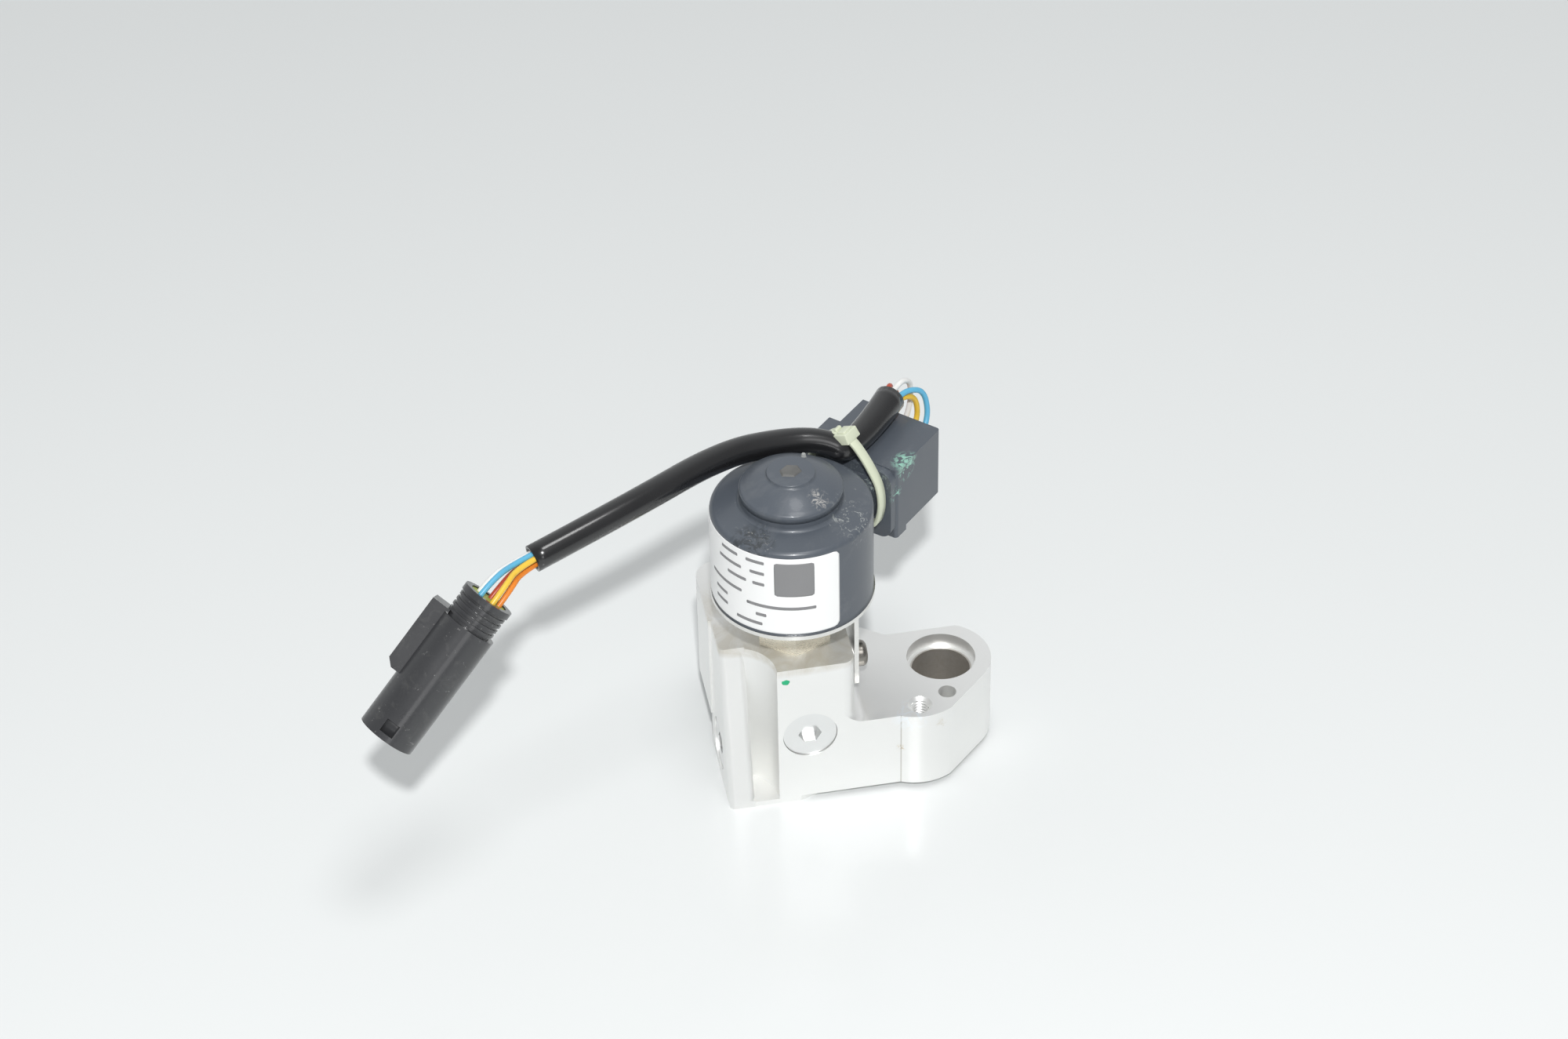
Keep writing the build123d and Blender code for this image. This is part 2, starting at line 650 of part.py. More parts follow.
with BuildPart() as coil_housing:
    with BuildSketch(Plane.XZ):
        with BuildLine():
            wall_top = coil_top - edge_r
            foot = (boss_r, coil_top + crown_rise)
            rim = (boss_r - boss_round, boss_top)
            disc_foot = (disc_r, disc_z - disc_h)
            flank = ((rim[0] + disc_foot[0]) / 2, (rim[1] + disc_foot[1]) / 2 + dome_bulge)
            Polyline((bore_r, coil_bottom), (coil_r, coil_bottom), (coil_r, wall_top))
            RadiusArc((coil_r, wall_top), (coil_r - edge_r, coil_top), -edge_r)
            Polyline((coil_r - edge_r, coil_top), (foot[0] + boss_round, foot[1]))
            RadiusArc((foot[0] + boss_round, foot[1]), (foot[0], foot[1] + boss_round), boss_round)
            Line((foot[0], foot[1] + boss_round), (boss_r, boss_top - boss_round))
            RadiusArc((boss_r, boss_top - boss_round), rim, -boss_round)
            ThreePointArc(rim, flank, disc_foot)
            Polyline(disc_foot, (disc_r, disc_z), (0, disc_z), (0, bore_top),
                     (bore_r, bore_top), (bore_r, coil_bottom))
        make_face()
    revolve(axis=Axis.Z)
    with Locations((0, 0, disc_z)):
        Box(gate_w, gate_l, gate_h, align=(Align.CENTER, Align.CENTER, Align.MIN))
    # the neck, the box and the rounded flange between them
    neck_start = bore_r + neck_in
    with BuildSketch(across_box(box_near, (neck_z[0] + neck_z[1]) / 2)):
        RectangleRounded(2 * neck_half, neck_z[1] - neck_z[0], neck_round)
    extrude(amount=box_near - neck_start)
    with BuildSketch(box_plane.offset(box_z[0])) as box_plan:
        with Locations((box_mid, 0)):
            Rectangle(box_far - box_near, 2 * box_half)
        fillet(box_plan.vertices(), box_round)
    extrude(amount=box_z[1] - box_z[0])
    with BuildSketch(across_box(box_near + foot_overlap, (flange_z[0] + flange_z[1]) / 2)):
        RectangleRounded(2 * (box_half - flange_in), flange_z[1] - flange_z[0], flange_round)
    extrude(amount=flange_out + foot_overlap)
    # the rear part is narrower and its underside is higher
    with BuildSketch(box_plane.offset(box_z[0])):
        with Locations((box_far + cut_over - (notch[0] + cut_over) / 2,
                        box_half + cut_over - (notch[1] + cut_over) / 2)):
            Rectangle(notch[0] + cut_over, notch[1] + cut_over)
    extrude(amount=box_z[1] - box_z[0], mode=Mode.SUBTRACT)
    step_n = box_near + step[0]
    with BuildSketch(box_plane.offset(box_z[0] - cut_over)):
        with Locations(((step_n + box_far + cut_over) / 2, 0)):
            Rectangle(box_far + cut_over - step_n, 2 * (box_half + cut_over))
    extrude(amount=step[1] + cut_over, mode=Mode.SUBTRACT)
    # room for the windings and the terminals
    winding_mid = (winding_in + winding_out) / 2
    yoke_z = (winding_z[0] + winding_h + winding_z[1]) / 2
    with BuildSketch(Plane.XZ):
        for z in winding_z:
            with Locations((winding_mid, z + winding_h / 2)):
                Rectangle(winding_out - winding_in + 2 * fit_gap, winding_h + 2 * fit_gap)
        with Locations((winding_mid, yoke_z)):
            Rectangle(winding_out - winding_in + 2 * fit_gap, yoke_h + yoke_room)
    revolve(axis=Axis.Z, mode=Mode.SUBTRACT)
    with BuildSketch(box_plane.offset(cave_z[0])):
        with Locations(((cave_near + box_far + cut_over) / 2, 0)):
            Rectangle(box_far + cut_over - cave_near, 2 * cave_half)
    extrude(amount=cave_z[1] - cave_z[0], mode=Mode.SUBTRACT)

with BuildPart() as box_cover:
    with BuildSketch(box_plane.offset(cave_z[0] + fit_gap)):
        with Locations((box_far - cover_t / 2, 0)):
            Rectangle(cover_t, 2 * (cave_half - fit_gap))
    extrude(amount=cave_z[1] - cave_z[0] - 2 * fit_gap)
    for i in range(len(wire_names)):
        spot = at_box(box_far - cover_t - cut_over, row_place(i), wire_exit_z)
        with BuildSketch(Plane(origin=spot, x_dir=(0, 0, 1), z_dir=side_n)):
            Circle(wire_r + fit_gap)
        extrude(amount=cover_t + 2 * cut_over, mode=Mode.SUBTRACT)

with BuildPart() as terminal_board:
    with BuildSketch(box_plane.offset(cave_z[0] + board_gap)):
        with Locations((cave_near + board_t, 0)):
            Rectangle(board_t, 2 * board_half)
    extrude(amount=cave_z[1] - cave_z[0] - 2 * board_gap)
    for i in range(len(wire_names)):
        with BuildSketch(box_plane.offset(wire_exit_z - pin_half)):
            with Locations((cave_near + board_t + pin_len / 2, row_place(i))):
                Rectangle(pin_len, 2 * pin_half)
        extrude(amount=2 * pin_half)

windings = []
for z in winding_z:
    with BuildPart() as winding:
        with BuildSketch(Plane.XZ):
            with Locations((winding_mid, z + winding_h / 2)):
                Rectangle(winding_out - winding_in, winding_h)
        revolve(axis=Axis.Z)
    windings.append(winding)
lower_winding, upper_winding = windings

with BuildPart() as stator_ring:
    with BuildSketch(Plane.XZ):
        with Locations((winding_mid, yoke_z)):
            Rectangle(winding_out - winding_in, yoke_h)
    revolve(axis=Axis.Z)

# Label wrapped round the coil
with BuildPart() as coil_label:
    with BuildSketch(Plane.XZ):
        with Locations((coil_r + label_gap + label_t / 2, (label_z[0] + label_z[1]) / 2)):
            Rectangle(label_t, label_z[1] - label_z[0])
    revolve(axis=Axis.Z, revolution_arc=label_turn[0] - label_turn[1])
coil_label.part = coil_label.part.rotate(Axis.Z, label_turn[1])

# Sheet bracket under the coil, with the tab screwed to the tower's side
with BuildPart() as coil_bracket:
    with BuildSketch(Plane.XY.offset(bracket_z)):
        Circle(ring_r)
        with Locations((tab_x + tab_t - ring_bridge / 2, 0)):
            Rectangle(ring_bridge, 2 * tab_half)
        Circle(neck_r + fit_gap, mode=Mode.SUBTRACT)
    extrude(amount=bracket_t)
    with BuildSketch(Plane.YZ.offset(tab_x)):
        with Locations((0, (bracket_z + tab_bottom) / 2)):
            Rectangle(2 * tab_half, bracket_z - tab_bottom)
        with Locations((0, screw_z)):
            Circle(screw_r + fit_gap, mode=Mode.SUBTRACT)
    extrude(amount=tab_t)

head_plane = Plane(origin=(tab_x + tab_t, 0, screw_z), x_dir=(0, 1, 0), z_dir=(1, 0, 0))
with BuildPart() as bracket_screw:
    with BuildSketch(head_plane):
        Circle(screw_head_r)
    extrude(amount=screw_head_h)
    top_edge = bracket_screw.edges().filter_by(GeomType.CIRCLE).sort_by(Axis.X)[-1]
    fillet(top_edge, screw_round)
    with BuildSketch(head_plane):
        Circle(screw_r)
    extrude(amount=-(tab_x + tab_t - right_x + screw_hole - wall_min))
    for turn in (0, 90):
        with BuildSketch(head_plane.offset(screw_head_h - screw_cross[1])):
            Rectangle(screw_cross[0], screw_slot, rotation=turn)
        extrude(amount=cut_over + screw_cross[1], mode=Mode.SUBTRACT)

# The sleeve, folded at the tie
spine = [Vector(*p) for p in sleeve_points]
with BuildPart() as cable_sleeve:
    with BuildLine():
        way = route(spine)
    with BuildSketch(Plane(origin=way @ 0, z_dir=way % 0)):
        Circle(sleeve_r)
        Circle(sleeve_r - sleeve_wall, mode=Mode.SUBTRACT)
    sweep()

# The wires: out of the box cover, round the loop, through the sleeve, into the connector
plug_d = unit(Vector(*plug_dir))
plug_o = Vector(*plug_at)
lead_in = plug_o - plug_d * wire_lead
back_in = plug_o + plug_d * (seal_len - wire_back)
start = spine[0] - unit(spine[1] - spine[0]) * past_sleeve
last_run = unit(spine[-1] - spine[-2])
loop_n = box_far + loop_out
loop_top = spine[-1] + last_run * ((loop_n - spine[-1].dot(side_n)) / last_run.dot(side_n))
loop_foot = at_box(loop_n, loop_top.dot(side_w), wire_exit_z)
core = [back_in, lead_in, start] + spine[1:-1] + [loop_top, loop_foot]
wires = {}
wire_routes = {}
for i, colour in enumerate(wire_names):
    around = math.radians(wire_slots[i])
    # inside the sleeve the wires keep their places on a small ring
    inner_way = offset_points(core[2:], up, ring_wire_r, around)
    wide = offset_points(core[:3], up, plug_wire_ring, around)
    ends = [at_box(loop_n, row_place(i), wire_exit_z),
            at_box(box_far - loop_in, row_place(i), wire_exit_z)]
    points = wide[:2] + inner_way[:-1] + ends
    wire_routes[colour] = points
    with BuildPart() as wire:
        with BuildLine():
            way = route(points)
        with BuildSketch(Plane(origin=way @ 0, z_dir=way % 0)):
            Circle(wire_r)
        sweep()
    wires[colour] = wire
    print("wire", colour, "length", round(way.length, 1), "bends", [round(r, 1) for r in bends(points)])

# The cable tie round neck and sleeve
with BuildLine():
    sleeve_way = route(spine)
near = [sleeve_way @ (k / way_steps) for k in range(way_steps + 1)]
near = [p for p in near if abs(p.dot(side_n) - tie_n) < tie_w / 2 + tie_reach and p.X > 0]
tie_ws = [p.dot(side_w) for p in near]
tie_mid = (min(tie_ws) + max(tie_ws)) / 2
tie_half = sleeve_r + tie_room + (max(tie_ws) - min(tie_ws)) / 2 + tie_room
tie_top = max(p.Z for p in near) + sleeve_r + tie_room
tie_side = neck_half + tie_room
tie_shoulder_z = neck_z[1] + tie_shoulder
tie_plane = Plane(origin=at_box(tie_n - tie_w / 2, 0, 0), x_dir=side_w, z_dir=side_n)
z_sign = -1.0 if tie_plane.y_dir.Z < 0 else 1.0


def tie_line(out):
    side, low = tie_side + out, neck_z[0] - tie_room - out
    pts = [(-side, low), (side, low), (side, tie_shoulder_z),
           (tie_mid + tie_half + out, tie_top + out), (tie_mid - tie_half - out, tie_top + out),
           (-side, tie_shoulder_z)]
    return [(p[0], p[1] * z_sign) for p in pts]


with BuildPart() as cable_tie:
    with BuildSketch(tie_plane) as outer_tie:
        with BuildLine():
            Polyline(*tie_line(tie_t), close=True)
        make_face()
        fillet(outer_tie.vertices(), tie_round + tie_t)
    extrude(amount=tie_w)
    with BuildSketch(tie_plane) as inner_tie:
        with BuildLine():
            Polyline(*tie_line(0.0), close=True)
        make_face()
        fillet(inner_tie.vertices(), tie_round)
    extrude(amount=tie_w, mode=Mode.SUBTRACT)
    # the strap gives way where the sleeve presses on it
    with BuildLine():
        way = route(spine)
    with BuildSketch(Plane(origin=way @ 0, z_dir=way % 0)):
        Circle(sleeve_r + fit_gap)
    sweep(mode=Mode.SUBTRACT)
    with Locations(at_box(tie_n, tie_mid, tie_top + tie_head_sink)):
        Box(*tie_head, rotation=(0, 0, box_turn), align=(Align.CENTER, Align.CENTER, Align.MIN))
    with Locations(at_box(tie_n, tie_mid + tie_head[1] / 2, tie_top + tie_head_sink + tie_t)):
        Box(tie_tail[1], tie_tail[2], tie_tail[0], rotation=(0, 0, box_turn),
            align=(Align.CENTER, Align.CENTER, Align.MIN))

# The connector
plug_x = Vector(*latch_dir)
plug_x = unit(plug_x - plug_d * plug_x.dot(plug_d))
plug_plane = Plane(origin=plug_o, x_dir=plug_x, z_dir=plug_d)
mouth_z = shell_len - mouth_depth
with BuildPart() as connector_body:
    with BuildSketch(plug_plane):
        Circle(collar_r)
    extrude(amount=collar_len)
    with BuildSketch(plug_plane):
        Circle(collar_r + rib_out)
    extrude(amount=collar_flange_t)
    for i in range(rib_count):
        with BuildSketch(plug_plane.offset(collar_flange_t + rib_w + i * rib_pitch)):
            Circle(collar_r + rib_low)
        extrude(amount=rib_w)
    with BuildSketch(plug_plane.offset(collar_len)):
        Circle(shell_r)
    extrude(amount=shell_len - collar_len)
    with BuildSketch(plug_plane.offset(latch_z[0])):
        with Locations((shell_r + (latch_h - latch_root) / 2, 0)):
            Rectangle(latch_h + latch_root, latch_w)
    extrude(amount=latch_z[1] - latch_z[0])
    outer_edge = [e for e in connector_body.edges().filter_by(GeomType.LINE)
                  if (e.center() - plug_o).dot(plug_x) > shell_r + latch_h - fit_gap
                  and (e.center() - plug_o).dot(plug_d) > latch_z[1] - fit_gap]
    chamfer(outer_edge, latch_chamfer)
    with BuildSketch(plug_plane.offset(mouth_z)):
        Circle(shell_r - shell_t)
    extrude(amount=mouth_depth + cut_over, mode=Mode.SUBTRACT)
    with BuildSketch(plug_plane.offset(-cut_over)):
        Circle(collar_r - seal_wall)
    extrude(amount=seal_len + cut_over + fit_gap, mode=Mode.SUBTRACT)
    # the window for the mating part's catch, a quarter turn from the latch
    window_plane = Plane(origin=plug_o + plug_d * (shell_len - window_in - window[0] / 2),
                         x_dir=plug_d, z_dir=plug_d.cross(plug_x) * -1)
    with BuildSketch(window_plane):
        Rectangle(window[0], window[1])
    extrude(amount=2 * shell_r, mode=Mode.SUBTRACT)

with BuildPart() as wire_seals:
    with BuildSketch(plug_plane.offset(seal_sink)):
        Circle(collar_r - seal_wall - fit_gap)
    extrude(amount=seal_len - seal_sink)
    for colour in wire_names:
        one, two = wire_routes[colour][0], wire_routes[colour][1]
        with BuildSketch(Plane(origin=two, z_dir=unit(one - two))):
            Circle(wire_r + guide_gap)
        extrude(amount=(one - two).length + fit_gap, mode=Mode.SUBTRACT)

with BuildPart() as connector_pins:
    with BuildSketch(plug_plane.offset(mouth_z)):
        with PolarLocations(contact_ring, len(wire_names)):
            Circle(contact_r)
    extrude(amount=contact_len)

pieces = {
    "valve_block": valve_block, "front_plug": front_plug, "front_plug_seal": front_plug_seal,
    "side_plug": side_plug, "side_plug_seal": side_plug_seal, "valve_seat": valve_seat,
    "hex_base": hex_base, "base_seal": base_seal, "motor_can": motor_can,
    "guide_bush": guide_bush, "rotor_magnet": rotor_magnet, "rotor_hub": rotor_hub,
    "spindle": spindle, "needle": needle, "coil_housing": coil_housing,
    "box_cover": box_cover, "terminal_board": terminal_board, "lower_winding": lower_winding,
    "upper_winding": upper_winding, "stator_ring": stator_ring, "coil_label": coil_label,
    "coil_bracket": coil_bracket, "bracket_screw": bracket_screw, "cable_tie": cable_tie,
    "cable_sleeve": cable_sleeve, "connector_body": connector_body, "wire_seals": wire_seals,
    "connector_pins": connector_pins,
}
for colour in wire_names:
    pieces["wire_" + colour] = wires[colour]
for name, piece in pieces.items():
    save(piece.part, name, name)
print("sleeve length", round(sleeve_way.length, 1), "bends", [round(r, 1) for r in bends(spine)])
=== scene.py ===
import math

import bpy
from mathutils import Matrix, Vector, noise as field


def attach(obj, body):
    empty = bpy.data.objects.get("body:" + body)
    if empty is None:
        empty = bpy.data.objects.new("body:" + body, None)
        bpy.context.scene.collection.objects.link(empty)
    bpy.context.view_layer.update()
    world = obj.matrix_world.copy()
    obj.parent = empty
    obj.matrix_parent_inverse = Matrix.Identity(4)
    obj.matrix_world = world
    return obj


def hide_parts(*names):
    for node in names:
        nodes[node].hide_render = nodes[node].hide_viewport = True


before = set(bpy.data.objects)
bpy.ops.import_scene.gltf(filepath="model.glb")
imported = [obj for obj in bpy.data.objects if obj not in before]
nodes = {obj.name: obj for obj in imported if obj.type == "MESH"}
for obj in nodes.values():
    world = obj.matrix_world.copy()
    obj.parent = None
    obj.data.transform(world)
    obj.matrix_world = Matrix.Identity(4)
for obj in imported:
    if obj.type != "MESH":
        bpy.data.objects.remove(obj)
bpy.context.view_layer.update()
scene = bpy.context.scene

# Sizes in metres, as part.py has them in millimetres
MM = 0.001
COIL_R = 18.0 * MM
COIL_BOTTOM = 53.3 * MM
COIL_TOP = 76.4 * MM
FRONT_Y = -13.4 * MM
ARM_TOP = 21.6 * MM
STUD = (26.8 * MM, -10.5 * MM)
STUD_R = 2.1 * MM
STUD_CONE = 0.7 * MM
PORT = (35.0 * MM, 4.7 * MM)
PORT_R = 6.7 * MM
MOUTH_DEPTH = 3.5 * MM

# The cable's routes in millimetres, from the connector on. They follow part.py's, and the wires'
# ends and loops lie as the photograph shows them.
SLEEVE_ROUTE = [(-58.2, -9.7, 78.1), (-36.2, -2.2, 82.5), (-13.0, 13.4, 81.6),
                (1.5, 17.2, 79.9), (10.4, 16.4, 79.6), (16.2, 14.0, 76.5), (28.4, 30.4, 77.7)]
WIRE_ROUTES = {
    "blue": [(-73.57, -20.66, 75.36), (-68.01, -18.11, 80.82), (-61.24, -10.74, 78.92),
             (-36.04, -2.75, 83.79), (-12.51, 12.49, 82.57), (1.65, 15.88, 80.42),
             (10.23, 15.11, 80.13), (16.75, 12.42, 76.65), (29.6, 29.7, 78)],
    "yellow": [(-71.33, -22.51, 73.94), (-65.77, -19.96, 79.4), (-61.24, -11.82, 78.78),
               (-35.57, -3.44, 82.37), (-12.54, 12.24, 80.93), (1.49, 16.3, 78.83),
               (9.92, 15.54, 78.54), (16.19, 12.95, 75.19), (28.1, 29, 76.4)],
    "white": [(-73.51, -17.76, 73.94), (-67.95, -15.21, 79.4), (-61.5, -9.42, 77.97),
              (-36.74, -1.29, 83.43), (-13.17, 13.99, 82.86), (1.6, 17.29, 81.29),
              (10.78, 16.47, 80.98), (16.55, 14.08, 77.9), (29.4, 31.3, 79.2)],
    "orange": [(-69.88, -20.75, 71.64), (-64.32, -18.2, 77.1), (-60.73, -10.91, 76.46),
               (-35.97, -2.42, 81.12), (-13.2, 13.59, 80.23), (1.35, 17.96, 78.72),
               (10.27, 17.16, 78.42), (15.64, 14.93, 75.55), (27, 30.2, 76.7)],
    "red": [(-71.23, -17.81, 71.64), (-65.67, -15.26, 77.1), (-61.04, -8.92, 75.91),
            (-36.69, -1.09, 81.78), (-13.6, 14.67, 81.42), (1.41, 18.57, 80.24),
            (10.8, 17.73, 79.93), (15.87, 15.63, 77.22), (27.8, 31.6, 78.4)],
}
# Behind the terminal box each wire arches over and down to its hole in the cover, in millimetres:
# how far out from the sleeve's end, how far along the cover, and how high
WIRE_LOOPS = {
    "blue": [(4.5, -2.4, 78.5), (8.5, -4.2, 76.0), (7.0, -6.0, 68.5)],
    "yellow": [(3.5, -1.7, 77.0), (7.0, -2.8, 74.5), (6.5, -3.4, 68.0)],
    "white": [(5.0, -0.3, 80.0), (8.5, -0.5, 77.0), (7.0, -0.7, 68.5)],
    "orange": [(3.0, 0.8, 77.5), (6.0, 1.8, 75.0), (5.8, 2.0, 68.0)],
    "red": [(3.5, 2.2, 78.5), (5.8, 3.4, 75.5), (4.6, 4.4, 68.5)],
}
WIRE_HOLES = {"blue": (33.82, 27.25, 66), "yellow": (31.88, 29.13, 66), "white": (29.94, 31, 66),
              "orange": (28, 32.88, 66), "red": (26.06, 34.75, 66)}
SLEEVE_R = 3.1 * MM
SLEEVE_WALL = 0.55 * MM
WIRE_R = 0.65 * MM


# Node materials
def new_material(name):
    mat = bpy.data.materials.new(name)
    mat.use_nodes = True
    tree = mat.node_tree
    tree.nodes.clear()
    out = tree.nodes.new("ShaderNodeOutputMaterial")
    shader = tree.nodes.new("ShaderNodeBsdfPrincipled")
    tree.links.new(shader.outputs[0], out.inputs[0])
    return mat, tree, shader


def place(tree, scale=(1, 1, 1)):
    coord = tree.nodes.new("ShaderNodeTexCoord")
    mapping = tree.nodes.new("ShaderNodeMapping")
    mapping.inputs["Scale"].default_value = scale
    tree.links.new(coord.outputs["Object"], mapping.inputs["Vector"])
    return mapping.outputs[0]


def cloud(tree, vector, scale, detail=4.0, rough=0.55, twist=0.0):
    n = tree.nodes.new("ShaderNodeTexNoise")
    n.inputs["Scale"].default_value = scale
    n.inputs["Detail"].default_value = detail
    n.inputs["Roughness"].default_value = rough
    n.inputs["Distortion"].default_value = twist
    tree.links.new(vector, n.inputs["Vector"])
    return n.outputs["Fac"]


def grey(v):
    return (v, v, v, 1.0)


def shade(colour, k):
    return tuple(min(1.0, c * k) for c in colour[:3]) + (1.0,)


def ramp(tree, value, low, high, first=0.0, last=1.0):
    r = tree.nodes.new("ShaderNodeValToRGB")
    r.color_ramp.elements[0].position = low
    r.color_ramp.elements[0].color = grey(first)
    r.color_ramp.elements[1].position = high
    r.color_ramp.elements[1].color = grey(last)
    tree.links.new(value, r.inputs[0])
    return r.outputs[0]


def mix(tree, factor, a, b):
    m = tree.nodes.new("ShaderNodeMix")
    m.data_type = "RGBA"
    tree.links.new(factor, m.inputs[0])
    for socket, value in ((m.inputs[6], a), (m.inputs[7], b)):
        if isinstance(value, tuple):
            socket.default_value = value
        else:
            tree.links.new(value, socket)
    return m.outputs[2]


def relief(tree, shader, height, strength, depth):
    b = tree.nodes.new("ShaderNodeBump")
    b.inputs["Strength"].default_value = strength
    b.inputs["Distance"].default_value = depth
    tree.links.new(height, b.inputs["Height"])
    tree.links.new(b.outputs[0], shader.inputs["Normal"])


def near(tree, centre, inner, outer, flat=(1, 1, 1)):
    """1 within the inner radius of a point, 0 beyond the outer one; flat scales each axis."""
    shift = tree.nodes.new("ShaderNodeVectorMath")
    shift.operation = "SUBTRACT"
    shift.inputs[1].default_value = [c * f for c, f in zip(centre, flat)]
    tree.links.new(place(tree, flat), shift.inputs[0])
    far = tree.nodes.new("ShaderNodeVectorMath")
    far.operation = "LENGTH"
    tree.links.new(shift.outputs[0], far.inputs[0])
    fade = tree.nodes.new("ShaderNodeMapRange")
    fade.inputs["From Min"].default_value = inner
    fade.inputs["From Max"].default_value = outer
    fade.inputs["To Min"].default_value = 1.0
    fade.inputs["To Max"].default_value = 0.0
    tree.links.new(far.outputs["Value"], fade.inputs["Value"])
    return fade.outputs[0]


def times(tree, a, b):
    m = tree.nodes.new("ShaderNodeMath")
    m.operation = "MULTIPLY"
    tree.links.new(a, m.inputs[0])
    tree.links.new(b, m.inputs[1])
    return m.outputs[0]


def finish_of(name, colour, rough, metallic=0.0, grain=(1, 1, 1), grain_scale=900.0, depth=0.03,
              spread=0.1, patch=60.0, marks=(), coat=0.0, gloss_spread=0.06, places=()):
    """A worn surface: colour and gloss vary in patches, a fine grain, and marks of another colour; the places
    can also carry painted shade, painted reflection and painted highlight.
    """
    mat, tree, shader = new_material(name)
    shader.inputs["Metallic"].default_value = metallic
    shader.inputs["Coat Weight"].default_value = coat
    shader.inputs["Coat Roughness"].default_value = 0.12
    broad = cloud(tree, place(tree), patch, 5.0, 0.6)
    fine = cloud(tree, place(tree, grain), grain_scale, 4.0, 0.6)
    tint = mix(tree, broad, shade(colour, 1 - spread), shade(colour, 1 + spread))
    for mark_colour, size, low, high, amount in marks:
        spots = cloud(tree, place(tree), size, 9.0, 0.72, 0.5)
        tint = mix(tree, ramp(tree, spots, low, high, 0.0, amount), tint, shade(mark_colour, 1))
    for mark_colour, size, low, high, amount, centre, inner, outer, flat in places:
        spots = ramp(tree, cloud(tree, place(tree), size, 6.0, 0.7, 1.2), low, high, 0.0, amount)
        tint = mix(tree, times(tree, spots, near(tree, centre, inner, outer, flat)), tint,
                   shade(mark_colour, 1))
    tree.links.new(tint, shader.inputs["Base Color"])
    gloss = ramp(tree, fine if metallic else broad, 0.3, 0.7, rough - gloss_spread, rough + gloss_spread)
    tree.links.new(gloss, shader.inputs["Roughness"])
    relief(tree, shader, fine, 0.3, depth * MM)
    return mat


DUST = (0.5, 0.5, 0.48)
SALT = (0.32, 0.62, 0.5)
PORT_AXIS = (PORT[0], PORT[1], 0)
block_marks_and_painted_light = [
    # painted shade: the port bore's wall is tinted darker and browner all the way down
    ((0.5, 0.47, 0.43), 60.0, 0.0, 0.1, 0.8, PORT_AXIS, 6.9 * MM, 7.2 * MM, (1, 1, 0)),
    ((0.5, 0.47, 0.42), 700.0, 0.35, 0.65, 0.7, PORT_AXIS, 6.9 * MM, 7.2 * MM, (1, 1, 0)),
    ((0.5, 0.33, 0.08), 900.0, 0.5, 0.6, 0.9, (21.8 * MM, FRONT_Y, 12.0 * MM), 0.2 * MM, 1.3 * MM, (1, 1, 1)),
    ((0.5, 0.4, 0.22), 600.0, 0.5, 0.62, 0.8, (31.5 * MM, -15.5 * MM, 18.5 * MM), 0.3 * MM, 2.4 * MM,
     (1, 1, 1)),
    # painted shade: a thin dark line down the crease between the front face and the arm
    ((0.35, 0.32, 0.27), 60.0, 0.0, 0.1, 0.6, (21.85 * MM, FRONT_Y, 0), 0.04 * MM, 0.2 * MM, (1, 1, 0)),
    # painted highlight: bluish-white patches lighten the arm's top by its front edge
    ((0.93, 0.97, 1.0), 300.0, 0.46, 0.56, 0.9, (24 * MM, -13 * MM, ARM_TOP), 1.5 * MM, 5 * MM, (1, 1, 1)),
    # painted shade and painted reflection: a darker grey-brown tone over the block's top face
    ((0.62, 0.57, 0.47), 120.0, 0.3, 0.6, 0.55, (-2 * MM, 2 * MM, 39.7 * MM), 17 * MM, 24 * MM, (1, 1, 8))]
block_mat = finish_of("machined_aluminium", (0.9, 0.902, 0.888), 0.38, 0.72, (40, 40, 420), 9.0, 0.006,
                      0.025, 45.0, [((0.66, 0.6, 0.48), 150.0, 0.68, 0.78, 0.25)], 0.0, 0.03, block_marks_and_painted_light)
plug_mat = finish_of("plug_aluminium", (0.84, 0.845, 0.84), 0.33, 1.0, (30, 30, 30), 14.0, 0.003, 0.04,
                     gloss_spread=0.03)
steel_mat = finish_of("cartridge_steel", (0.84, 0.77, 0.62), 0.2, 1.0, (30, 30, 160), 12.0, 0.01, 0.1)
hex_mat = finish_of("cartridge_hexagon", (0.92, 0.87, 0.74), 0.28, 0.6, (30, 30, 160), 12.0, 0.001, 0.03)
sheet_mat = finish_of("bracket_steel", (0.82, 0.81, 0.785), 0.22, 1.0, (60, 60, 60), 9.0, 0.006, 0.07)
screw_mat = finish_of("dark_screw", (0.3, 0.285, 0.26), 0.3, 1.0, (90, 90, 90), 9.0, 0.03, 0.25)
brass_mat = finish_of("brass", (0.76, 0.58, 0.3), 0.3, 1.0, (40, 40, 40), 12.0)
copper_mat = finish_of("enamelled_copper", (0.62, 0.3, 0.17), 0.35, 1.0, (6, 6, 800), 3.0, 0.08, 0.15)
